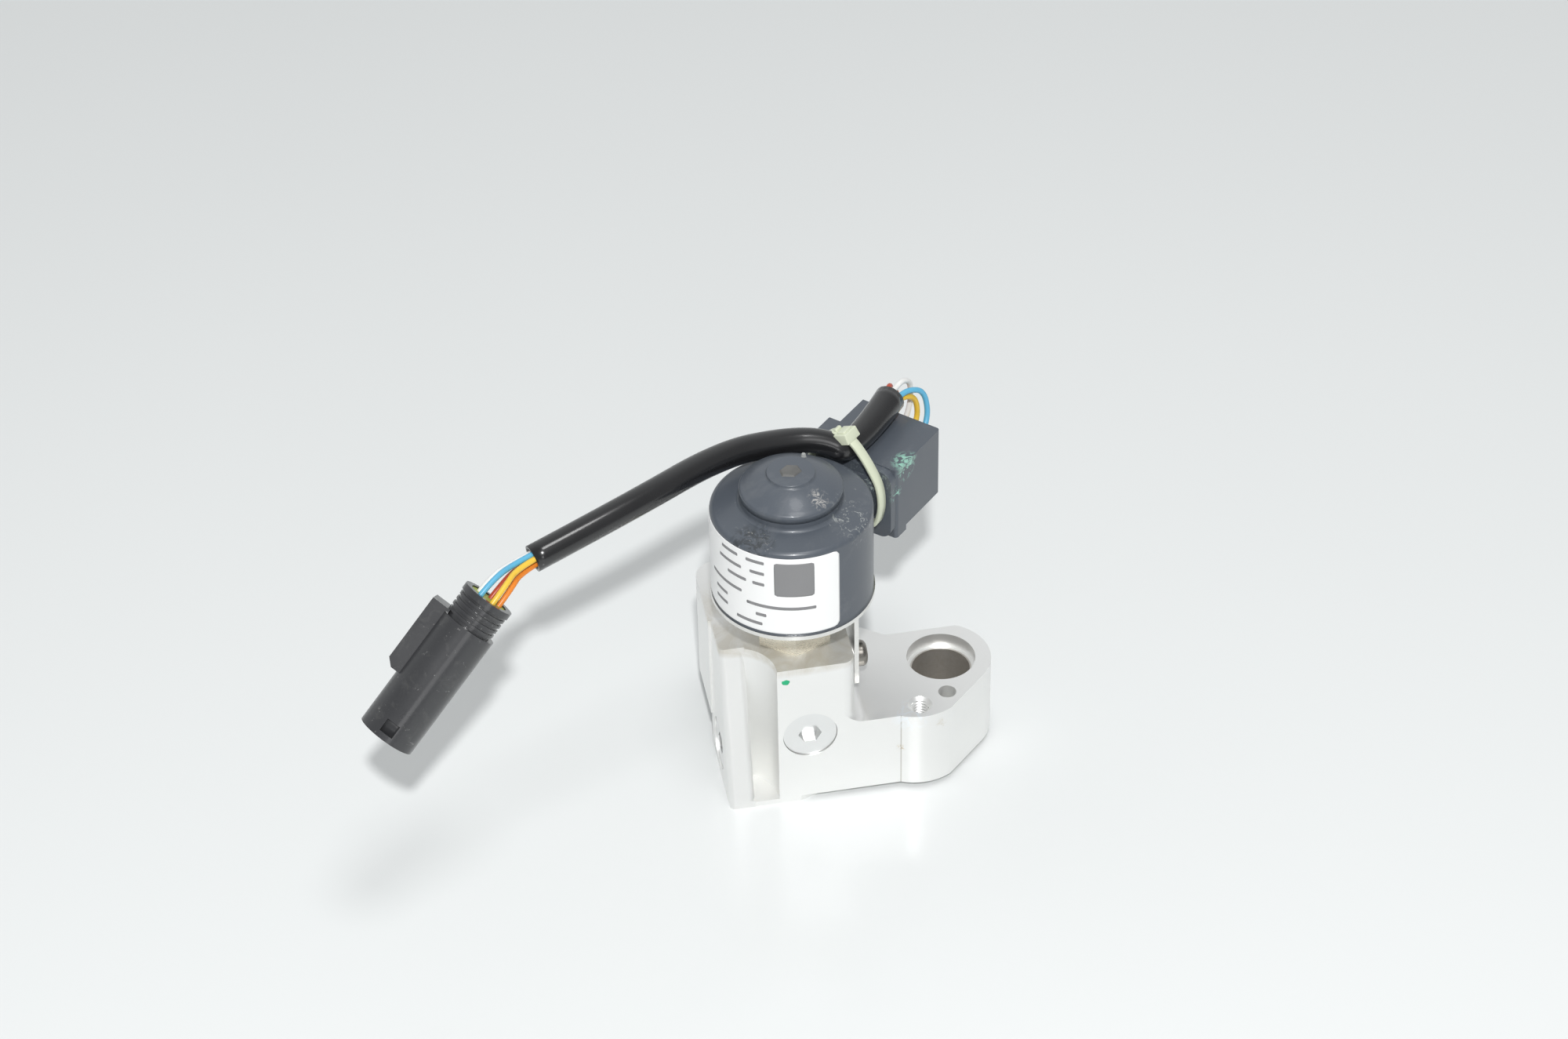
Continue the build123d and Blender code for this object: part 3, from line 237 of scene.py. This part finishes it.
coil_places = [
    ((0.04, 0.045, 0.05), 420.0, 0.48, 0.58, 0.8, (-11 * MM, -12 * MM, COIL_TOP), 3.5 * MM, 6 * MM, (1, 1, 1)),
    ((0.4, 0.4, 0.38), 700.0, 0.6, 0.68, 0.8, (-11 * MM, -12 * MM, COIL_TOP), 3.5 * MM, 6.5 * MM, (1, 1, 1)),
    ((0.55, 0.53, 0.5), 650.0, 0.5, 0.6, 0.8, (4.5 * MM, -7.5 * MM, 82 * MM), 1.0 * MM, 3.0 * MM, (1, 1, 1)),
    ((0.5, 0.52, 0.5), 800.0, 0.56, 0.64, 0.7, (12 * MM, -9 * MM, 77 * MM), 2.5 * MM, 7 * MM, (1, 1, 1)),
    ((0.42, 0.5, 0.46), 900.0, 0.54, 0.62, 0.7, (18 * MM, 9 * MM, 70 * MM), 3 * MM, 8 * MM, (1, 1, 1)),
    (SALT, 520.0, 0.5, 0.56, 0.9, (28.7 * MM, 12.7 * MM, 72.2 * MM), 2.2 * MM, 4.2 * MM, (1, 1, 1)),
    (SALT, 700.0, 0.52, 0.58, 0.8, (25.5 * MM, 9.5 * MM, 67 * MM), 0.8 * MM, 2.4 * MM, (1, 1, 1))]
coil_mat = finish_of("coil_plastic", (0.088, 0.102, 0.122), 0.36, 0.0, (1, 1, 1), 1500.0, 0.03, 0.12, 40.0,
                     [(DUST, 330.0, 0.68, 0.74, 0.45), ((0.2, 0.21, 0.22), 70.0, 0.52, 0.75, 0.45)], 0.15,
                     0.07, coil_places)
box_mat = finish_of("box_plastic", (0.085, 0.092, 0.1), 0.42, 0.0, (1, 1, 1), 1500.0, 0.03, 0.12, 40.0,
                    [(DUST, 330.0, 0.68, 0.76, 0.4)])
paper_mat = finish_of("label_paper", (0.93, 0.935, 0.93), 0.42, 0.0, (1, 1, 1), 900.0, 0.01, 0.015)
print_mat = finish_of("label_print", (0.24, 0.24, 0.245), 0.5, 0.0, (1, 1, 1), 900.0, 0.01, 0.1)
nylon_mat = finish_of("nylon", (0.66, 0.7, 0.54), 0.3, 0.0, (1, 1, 1), 700.0, 0.03, 0.05, 120.0)
sleeve_mat = finish_of("soft_sleeve", (0.012, 0.012, 0.013), 0.28, 0.0, (1, 1, 1), 160.0, 0.02, 0.3, 70.0,
                       [((0.12, 0.12, 0.12), 500.0, 0.68, 0.75, 0.5)], 0.6, 0.04)
plug_plastic = finish_of("connector_plastic", (0.04, 0.041, 0.044), 0.32, 0.0, (1, 1, 1), 1300.0, 0.04, 0.12,
                         60.0, [((0.13, 0.13, 0.125), 260.0, 0.55, 0.78, 0.4), (DUST, 620.0, 0.62, 0.71, 0.6)],
                         0.3)
rubber_mat = finish_of("seal_rubber", (0.03, 0.03, 0.03), 0.6)
lime_mat = finish_of("wire_seal_rubber", (0.42, 0.5, 0.08), 0.5)
gate_mat = finish_of("gate_break", (0.13, 0.13, 0.125), 0.6, 0.0, (1, 1, 1), 900.0, 0.12, 0.3, 500.0)
nub_mat = finish_of("gate_nub", (0.4, 0.41, 0.4), 0.55, 0.0, (1, 1, 1), 900.0, 0.1, 0.3, 500.0)
magnet_mat = finish_of("magnet", (0.06, 0.06, 0.065), 0.5)
paint_mat = finish_of("green_paint", (0.01, 0.45, 0.2), 0.35, 0.0, (1, 1, 1), 900.0, 0.03, 0.2)
wire_mats = {name: finish_of("insulation_" + name, colour, 0.36, 0.0, (1, 1, 1), 900.0, 0.00002, 0.06)
             for name, colour in (("blue", (0.12, 0.44, 0.66)), ("yellow", (0.86, 0.55, 0.06)),
                                  ("white", (0.82, 0.82, 0.8)), ("orange", (0.82, 0.25, 0.03)),
                                  ("red", (0.5, 0.07, 0.03)))}

NODE_LOOKS = (
    (block_mat, ["valve_block"]), (plug_mat, ["front_plug", "side_plug"]),
    (rubber_mat, ["front_plug_seal", "side_plug_seal", "base_seal"]),
    (brass_mat, ["valve_seat", "guide_bush", "connector_pins"]),
    (steel_mat, ["motor_can", "spindle", "needle", "stator_ring"]), (hex_mat, ["hex_base"]),
    (magnet_mat, ["rotor_magnet"]), (nylon_mat, ["rotor_hub", "cable_tie"]),
    (coil_mat, ["coil_housing"]), (box_mat, ["box_cover", "terminal_board"]),
    (copper_mat, ["lower_winding", "upper_winding"]), (sheet_mat, ["coil_bracket"]),
    (screw_mat, ["bracket_screw"]), (plug_plastic, ["connector_body"]), (lime_mat, ["wire_seals"]),
    (paper_mat, ["coil_label"]),
)
for mat, names in NODE_LOOKS:
    for name in names:
        if not nodes[name].data.materials:
            nodes[name].data.materials.append(mat)
        for s in nodes[name].material_slots:
            s.material = mat

EDGE_WIDTH = {"valve_block": 0.3, "front_plug": 0.2, "side_plug": 0.2, "hex_base": 0.3,
              "coil_housing": 0.3, "coil_bracket": 0.15, "cable_tie": 0.3, "connector_body": 0.25,
              "box_cover": 0.15}
for name, width in EDGE_WIDTH.items():
    edge = nodes[name].modifiers.new("edge", "BEVEL")
    edge.width = width * MM
    edge.segments = 3
    edge.limit_method = "ANGLE"
    edge.angle_limit = math.radians(35)


# Pieces
def piece(name, verts, faces, mat, body="valve", smooth=True):
    mesh = bpy.data.meshes.new(name)
    mesh.from_pydata([tuple(v) for v in verts], [], faces)
    mesh.update()
    mesh.materials.append(mat)
    mesh.polygons.foreach_set("use_smooth", [smooth] * len(mesh.polygons))
    obj = bpy.data.objects.new(name, mesh)
    scene.collection.objects.link(obj)
    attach(obj, body)
    return obj


def patch_on_coil(name, turns, heights, lift, thick, corner, mat, across=48, up=10):
    """A closed thin patch bent round the coil, its corners rounded, turns in degrees."""
    radius = COIL_R + lift
    half_w = radius * math.radians(turns[1] - turns[0]) / 2
    half_h = (heights[1] - heights[0]) / 2
    mid_a, mid_z = math.radians(sum(turns) / 2), sum(heights) / 2
    verts, faces = [], []
    for layer in (radius, radius + thick):
        for j in range(up + 1):
            h = half_h * math.cos(math.pi * (1 - j / up))
            over = max(0.0, abs(h) - (half_h - corner))
            inset = corner - math.sqrt(max(0.0, corner ** 2 - over ** 2))
            for i in range(across + 1):
                a = mid_a + (half_w - inset) * (2 * i / across - 1) / radius
                verts.append((layer * math.cos(a), layer * math.sin(a), mid_z + h))
    row, size = across + 1, (across + 1) * (up + 1)
    for j in range(up):
        for i in range(across):
            a = j * row + i
            faces.append((a, a + row, a + row + 1, a + 1))
            faces.append((size + a, size + a + 1, size + a + row + 1, size + a + row))
    rim = [i for i in range(row)] + [j * row + across for j in range(1, up + 1)]
    rim += [up * row + i for i in range(across - 1, -1, -1)] + [j * row for j in range(up - 1, 0, -1)]
    for k, a in enumerate(rim):
        b = rim[(k + 1) % len(rim)]
        faces.append((a, b, size + b, size + a))
    return piece(name, verts, faces, mat)


LABEL_TURN = (-196.0, -66.0)
LABEL_Z = (COIL_BOTTOM + 0.7 * MM, COIL_TOP - 1.3 * MM)
LABEL_T = 0.12 * MM
label = patch_on_coil("label", LABEL_TURN, LABEL_Z, 0.01 * MM, LABEL_T, 1.4 * MM, paper_mat, 90, 14)
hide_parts("coil_label")

# Plain grey bars and a plain square stand for the label's print,
# degrees round the coil and heights in millimetres
BAR_H = 0.85
BARS = [((-157, -141), 73.2), ((-134, -120), 73.2), ((-160, -138), 70.2), ((-131, -120), 70.2),
        ((-151, -134), 67.2), ((-129, -120), 67.2), ((-171, -138), 63.6), ((-134, -84), 61.2),
        ((-127, -119), 58.6), ((-143, -122), 56.0), ((-166, -152), 60.2), ((-166, -152), 57.4)]
CODE = ((-113.0, -85.0), 64.6, 73.8)
PRINT_LIFT = 0.01 * MM + LABEL_T
for k, (turns, height) in enumerate(BARS):
    patch_on_coil("print_%02d" % k, turns, ((height - BAR_H / 2) * MM, (height + BAR_H / 2) * MM),
                  PRINT_LIFT, 0.01 * MM, 0.2 * MM, print_mat, 16, 4)
patch_on_coil("print_square", CODE[0], (CODE[1] * MM, CODE[2] * MM), PRINT_LIFT, 0.01 * MM, 0.6 * MM,
              print_mat, 24, 8)


def blob(name, centre, across, up, size, height, mat, seed, count=20):
    """A low uneven drop on a surface, its two directions given as vectors."""
    centre, across, up = Vector(centre), Vector(across), Vector(up)
    out = across.cross(up).normalized()
    verts, faces = [centre + out * height], []
    for ring, (reach, lift) in enumerate(((0.45, 0.9), (0.8, 0.55), (1.0, 0.0), (1.0, -0.2))):
        for k in range(count):
            a = 2 * math.pi * k / count
            wave = field.noise(Vector((math.cos(a) * 1.6, math.sin(a) * 1.6, seed)))
            r = reach * (1 + 0.28 * wave)
            verts.append(centre + across * (size[0] * r * math.cos(a)) + up * (size[1] * r * math.sin(a))
                         + out * (height * lift))
    for k in range(count):
        faces.append((0, 1 + k, 1 + (k + 1) % count))
        for ring in range(3):
            a, b = 1 + ring * count, 1 + (ring + 1) * count
            n = (k + 1) % count
            faces.append((a + k, b + k, b + n, a + n))
    faces.append(tuple(1 + 3 * count + k for k in range(count - 1, -1, -1)))
    return piece(name, verts, faces, mat)


blob("paint_dot", (-4.4 * MM, FRONT_Y, 36.3 * MM), (1, 0, 0), (0, 0, 1), (0.95 * MM, 0.7 * MM),
     0.05 * MM, paint_mat, 3.0)


def helix(name, centre, radius, rise, pitch, turns, top, mat, count=40):
    """A screw thread's ridge down the wall of a hole."""
    verts, faces = [], []
    steps = int(turns * count)
    for k in range(steps + 1):
        a = 2 * math.pi * k / count
        z = top - pitch * k / count
        for r, dz in ((radius + 0.02 * MM, pitch * 0.46), (radius - rise, pitch * 0.08),
                      (radius - rise, -pitch * 0.08), (radius + 0.02 * MM, -pitch * 0.46)):
            verts.append((centre[0] + r * math.cos(a), centre[1] + r * math.sin(a), z + dz))
    for k in range(steps):
        for c in range(4):
            d = (c + 1) % 4
            faces.append((4 * k + c, 4 * k + d, 4 * k + 4 + d, 4 * k + 4 + c))
    faces.append((3, 2, 1, 0))
    faces.append(tuple(4 * steps + c for c in range(4)))
    return piece(name, verts, faces, mat, smooth=False)


helix("stud_thread", STUD, STUD_R, 0.32 * MM, 0.8 * MM, 9, ARM_TOP - STUD_CONE - 0.5 * MM, block_mat)


# The coil's crown: its rim, its flank and the disc on top, round the needle's axis
def turned(name, profile, mat, count=96):
    """A closed solid turned round the axis from points of radius and height, first and last on it."""
    verts, faces = [(0, 0, profile[0][1])], []
    inner = profile[1:-1]
    for r, z in inner:
        verts += [(r * math.cos(2 * math.pi * k / count), r * math.sin(2 * math.pi * k / count), z)
                  for k in range(count)]
    verts.append((0, 0, profile[-1][1]))
    for k in range(count):
        n = (k + 1) % count
        faces.append((0, 1 + n, 1 + k))
        for j in range(len(inner) - 1):
            a, b = 1 + j * count, 1 + (j + 1) * count
            faces.append((a + k, a + n, b + n, b + k))
        last = 1 + (len(inner) - 1) * count
        faces.append((last + k, last + n, len(verts) - 1))
    return piece(name, verts, faces, mat)


CROWN_R = 11.45 * MM
CROWN_LOW = 79.4 * MM
CROWN_RIM = 81.6 * MM
CROWN_DISC_R = 5.35 * MM
CROWN_TOP = 85.1 * MM
CROWN_STEP = 0.7 * MM
CROWN_ROUND = 0.9 * MM
CROWN_BOW = 0.3 * MM
rim = [(CROWN_R - CROWN_ROUND * (1 - math.cos(t)), CROWN_RIM - CROWN_ROUND * (1 - math.sin(t)))
       for t in [math.radians(9 * k) for k in range(9)]]
run = [((1 - t) * rim[-1][0] + t * CROWN_DISC_R,
        (1 - t) * rim[-1][1] + t * (CROWN_TOP - CROWN_STEP) + 4 * CROWN_BOW * t * (1 - t))
       for t in [k / 10 for k in range(1, 11)]]
edge = [(CROWN_DISC_R - 0.25 * MM * (1 - math.cos(t)), CROWN_TOP - 0.25 * MM * (1 - math.sin(t)))
        for t in [math.radians(15 * k) for k in range(7)]]
turned("crown", [(0, CROWN_LOW), (CROWN_R, CROWN_LOW)] + rim + run + edge + [(0, CROWN_TOP)], coil_mat)


def slab(name, outline, low, high, shrink, mat, round_off):
    """A low lump from an outline in plan; its top is drawn in and tilted."""
    mid = Vector((sum(p[0] for p in outline), sum(p[1] for p in outline))) / len(outline)
    verts = [(x, y, low) for x, y in outline]
    for k, (x, y) in enumerate(outline):
        q = mid + (Vector((x, y)) - mid) * shrink
        verts.append((q.x, q.y, high - 0.12 * MM * (k % 2)))
    n = len(outline)
    faces = [tuple(range(n - 1, -1, -1)), tuple(range(n, 2 * n))]
    faces += [(k, (k + 1) % n, n + (k + 1) % n, n + k) for k in range(n)]
    obj = piece(name, verts, faces, mat, smooth=False)
    edge = obj.modifiers.new("edge", "BEVEL")
    edge.width = round_off
    edge.segments = 2
    return obj


GATE = [(-2.3, -1.6), (0.4, -2.3), (2.5, -0.6), (1.9, 1.7), (-0.6, 2.2), (-2.5, 0.6)]
slab("gate_mark", [(x * MM, y * MM) for x, y in GATE], CROWN_TOP - 0.1 * MM, CROWN_TOP + 0.4 * MM, 0.82,
     gate_mat, 0.08 * MM)
slab("gate_nub", [((x * 0.3 + 4.0) * MM, (y * 0.26 + 6.1) * MM) for x, y in GATE], 83.2 * MM, 84.7 * MM,
     0.6, nub_mat, 0.08 * MM)


# Cable tie, in the plane across the terminal box: across and up, in millimetres
BOX_TURN = math.radians(46.0)
OUT = Vector((math.cos(BOX_TURN), math.sin(BOX_TURN), 0))
SIDE = Vector((-math.sin(BOX_TURN), math.cos(BOX_TURN), 0))
UP = Vector((0, 0, 1))
TIE_N, TIE_W, TIE_T = 21.2 * MM, 2.5 * MM, 0.95 * MM
STRAP = [(-0.4, 81.3), (-2.9, 79.8), (-5.3, 77.2), (-7.4, 74.2), (-9.2, 70.8), (-9.9, 67.0), (-9.7, 63.2),
         (-8.5, 59.8), (-5.5, 59.15), (0.0, 59.15), (5.5, 59.15), (8.4, 60.3), (8.75, 64.0), (8.75, 69.0),
         (8.3, 72.6), (6.6, 76.0), (4.2, 79.4), (2.2, 81.0)]


def through(points, steps):
    """A closed smooth line through the points."""
    line, n = [], len(points)
    for k in range(n):
        a, b, c, d = (Vector(points[(k + j) % n]) for j in (-1, 0, 1, 2))
        for m in range(steps):
            t = m / steps
            line.append(b + (c - a) * (t / 2) + (a * 2 - b * 5 + c * 4 - d) * (t * t / 2)
                        + (b * 3 - a - c * 3 + d) * (t ** 3 / 2))
    return line


def strap(name, points, mat):
    line = through(points, 6)
    verts, faces, n = [], [], len(line)
    section = ((-0.5, -0.3), (-0.42, -0.5), (0.42, -0.5), (0.5, -0.3), (0.5, 0.3), (0.42, 0.5),
               (-0.42, 0.5), (-0.5, 0.3))
    for k, p in enumerate(line):
        way = (line[(k + 1) % n] - line[k - 1]).normalized()
        for across, out in section:
            q = p * MM + Vector((-way.y, way.x)) * (-out * TIE_T)
            verts.append(OUT * (TIE_N + across * TIE_W) + SIDE * q.x + UP * q.y)
    m = len(section)
    for k in range(n):
        for j in range(m):
            a, b = k * m, (k + 1) % n * m
            faces.append((a + j, a + (j + 1) % m, b + (j + 1) % m, b + j))
    return piece(name, verts, faces, mat)


def tie_head(name, mat):
    """The head: a block with drawn-in ends, a raised lip and the cut-off tail, leaning to one side."""
    lean = math.radians(-24.0)
    across = SIDE * math.cos(lean) + UP * math.sin(-lean) * -1
    high = OUT.cross(across).normalized()
    origin = OUT * (TIE_N + 0.3 * MM) + SIDE * (-0.5 * MM) + UP * (81.0 * MM)
    verts, faces = [], []

    def block(length, width, low, top, drawn, shift=0.0):
        base = len(verts)
        for z, k in ((low, 1.0), (top, drawn)):
            for a, b in ((-1, -1), (1, -1), (1, 1), (-1, 1)):
                verts.append(origin + OUT * (a * length * k / 2 * MM)
                             + across * ((b * width * k / 2 + shift) * MM) + high * (z * MM))
        faces.extend([tuple(base + i for i in f) for f in
                      ((3, 2, 1, 0), (4, 5, 6, 7), (0, 1, 5, 4), (1, 2, 6, 5), (2, 3, 7, 6), (3, 0, 4, 7))])

    block(4.9, 3.9, -1.3, 1.2, 0.9)
    block(3.2, 2.4, 1.1, 1.6, 0.86)
    block(2.2, 1.0, 1.2, 2.1, 0.9, 1.7)
    obj = piece(name, verts, faces, mat)
    edge = obj.modifiers.new("edge", "BEVEL")
    edge.width = 0.32 * MM
    edge.segments = 3
    return obj


tie = strap("tie_strap", STRAP, nylon_mat)
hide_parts("cable_tie")
tie_head("tie_head", nylon_mat)


# Cable
def cable(name, points, radius, mat, wall=0.0, widths=None):
    data = bpy.data.curves.new(name, "CURVE")
    data.dimensions = "3D"
    spline = data.splines.new("NURBS")
    spline.points.add(len(points) - 1)
    for p, q, width in zip(spline.points, points, widths or [1.0] * len(points)):
        p.co = (q[0] * MM, q[1] * MM, q[2] * MM, 1.0)
        p.radius = width
    spline.order_u = 3
    spline.use_endpoint_u = True
    spline.resolution_u = 16
    data.bevel_depth = radius
    data.bevel_resolution = 8
    data.use_fill_caps = not wall
    data.materials.append(mat)
    obj = bpy.data.objects.new(name, data)
    scene.collection.objects.link(obj)
    if wall:
        shell = obj.modifiers.new("wall", "SOLIDIFY")
        shell.thickness = wall
        shell.offset = -1.0
    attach(obj, "valve")
    return obj


for name, route in WIRE_ROUTES.items():
    start = Vector((SLEEVE_ROUTE[-1][0], SLEEVE_ROUTE[-1][1], 0))
    route = route + [tuple(start + OUT * out + SIDE * along + UP * high)
                     for out, along, high in WIRE_LOOPS[name]] + [WIRE_HOLES[name]]
    wire = cable("lead_" + name, route[::-1], WIRE_R, wire_mats[name])
    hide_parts("wire_" + name)
# the tie squeezes the sleeve, which stands wider open past it
SLEEVE_WIDTHS = (1.14, 1.0, 0.86, 1.0, 1.0, 1.0, 1.0)
sleeve = cable("sleeve", SLEEVE_ROUTE[::-1], SLEEVE_R, sleeve_mat, SLEEVE_WALL, SLEEVE_WIDTHS)
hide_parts("cable_sleeve")

# The connector's window lies before a liner inside its mouth
PLUG_AT = Vector((-68.85, -18.5, 76.3)) * MM
PLUG_WAY = Vector((-0.677, -0.31, -0.664)).normalized()
LATCH_WAY = Vector((-0.73, 0.51, 0.46))
LATCH_WAY = (LATCH_WAY - PLUG_WAY * LATCH_WAY.dot(PLUG_WAY)).normalized()
WINDOW_WAY = PLUG_WAY.cross(LATCH_WAY)
if WINDOW_WAY.y > 0:
    WINDOW_WAY = -WINDOW_WAY
LINER_R = 5.45 * MM
LINER_T = 0.35 * MM
LINER_Z = (30.2 * MM, 36.2 * MM)
LINER_TURN = math.radians(32.0)


def liner(name, mat, steps=12):
    verts, faces = [], []
    for z in LINER_Z:
        for r in (LINER_R, LINER_R - LINER_T):
            for k in range(steps + 1):
                a = LINER_TURN * (2 * k / steps - 1)
                verts.append(PLUG_AT + PLUG_WAY * z + WINDOW_WAY * (r * math.cos(a))
                             + LATCH_WAY * (r * math.sin(a)))
    n = steps + 1
    for k in range(steps):
        for a, b in ((0, 2), (3, 1), (1, 0), (2, 3)):
            faces.append((a * n + k, a * n + k + 1, b * n + k + 1, b * n + k))
    faces += [(0, n, 3 * n, 2 * n), (n - 1, 3 * n - 1, 4 * n - 1, 2 * n - 1)]
    return piece(name, verts, faces, mat)


liner("mouth_liner", plug_plastic)

# Floor, light and camera
floor_mat, tree, shader = new_material("floor")
tone = mix(tree, cloud(tree, place(tree), 3.0, 2.0), (0.78, 0.80, 0.797, 1), (0.81, 0.827, 0.823, 1))
tree.links.new(tone, shader.inputs["Base Color"])
shader.inputs["Roughness"].default_value = 0.22
shader.inputs["IOR"].default_value = 1.4
FLOOR_HALF = 6.0
floor_mesh = bpy.data.meshes.new("floor")
floor_mesh.from_pydata([(-FLOOR_HALF, -FLOOR_HALF, 0), (FLOOR_HALF, -FLOOR_HALF, 0),
                        (FLOOR_HALF, FLOOR_HALF, 0), (-FLOOR_HALF, FLOOR_HALF, 0)], [], [(0, 1, 2, 3)])
floor_mesh.materials.append(floor_mat)
floor = bpy.data.objects.new("floor", floor_mesh)
scene.collection.objects.link(floor)

world = bpy.data.worlds.new("world")
scene.world = world
world.use_nodes = True
# the room is dark behind the camera and pale behind the object
tree = world.node_tree
axes = tree.nodes.new("ShaderNodeSeparateXYZ")
tree.links.new(tree.nodes.new("ShaderNodeTexCoord").outputs["Generated"], axes.inputs[0])
tone = mix(tree, ramp(tree, axes.outputs["Y"], 0.0, 0.6), (0.3, 0.305, 0.31, 1), (0.68, 0.695, 0.7, 1))
tree.links.new(tone, tree.nodes["Background"].inputs[0])


def area(name, at, size, power, target=(0, 0, 0.04)):
    data = bpy.data.lights.new(name, "AREA")
    data.shape = "DISK"
    data.size = size
    data.energy = power
    obj = bpy.data.objects.new(name, data)
    obj.location = at
    obj.rotation_euler = (Vector(target) - Vector(at)).to_track_quat("-Z", "Y").to_euler()
    scene.collection.objects.link(obj)
    return obj


KEY_WAY = Vector((-0.096, -0.645, 0.758))
area("key", KEY_WAY * 1.3, 0.055, 11.0)
area("top", (0.08, -0.17, 1.05), 0.3, 2.0)
area("low", (-0.1, -1.0, 0.3), 0.3, 0.5)

lens = bpy.data.cameras.new("camera")
lens.sensor_width = 36.0
lens.lens = 90.0
lens.clip_start = 0.01
view = bpy.data.objects.new("camera", lens)
right = Vector((0.9824, -0.1859, -0.0157)).normalized()
ahead = Vector((0.1346, 0.7647, -0.6302)).normalized()
up = right.cross(ahead).normalized()
right = ahead.cross(up)
turn = Matrix((right, up, -ahead)).transposed().to_4x4()
view.matrix_world = Matrix.Translation(Vector((-117.2, -656.3, 612.7)) * MM) @ turn
scene.collection.objects.link(view)
scene.camera = view
scene.view_settings.view_transform = "Standard"
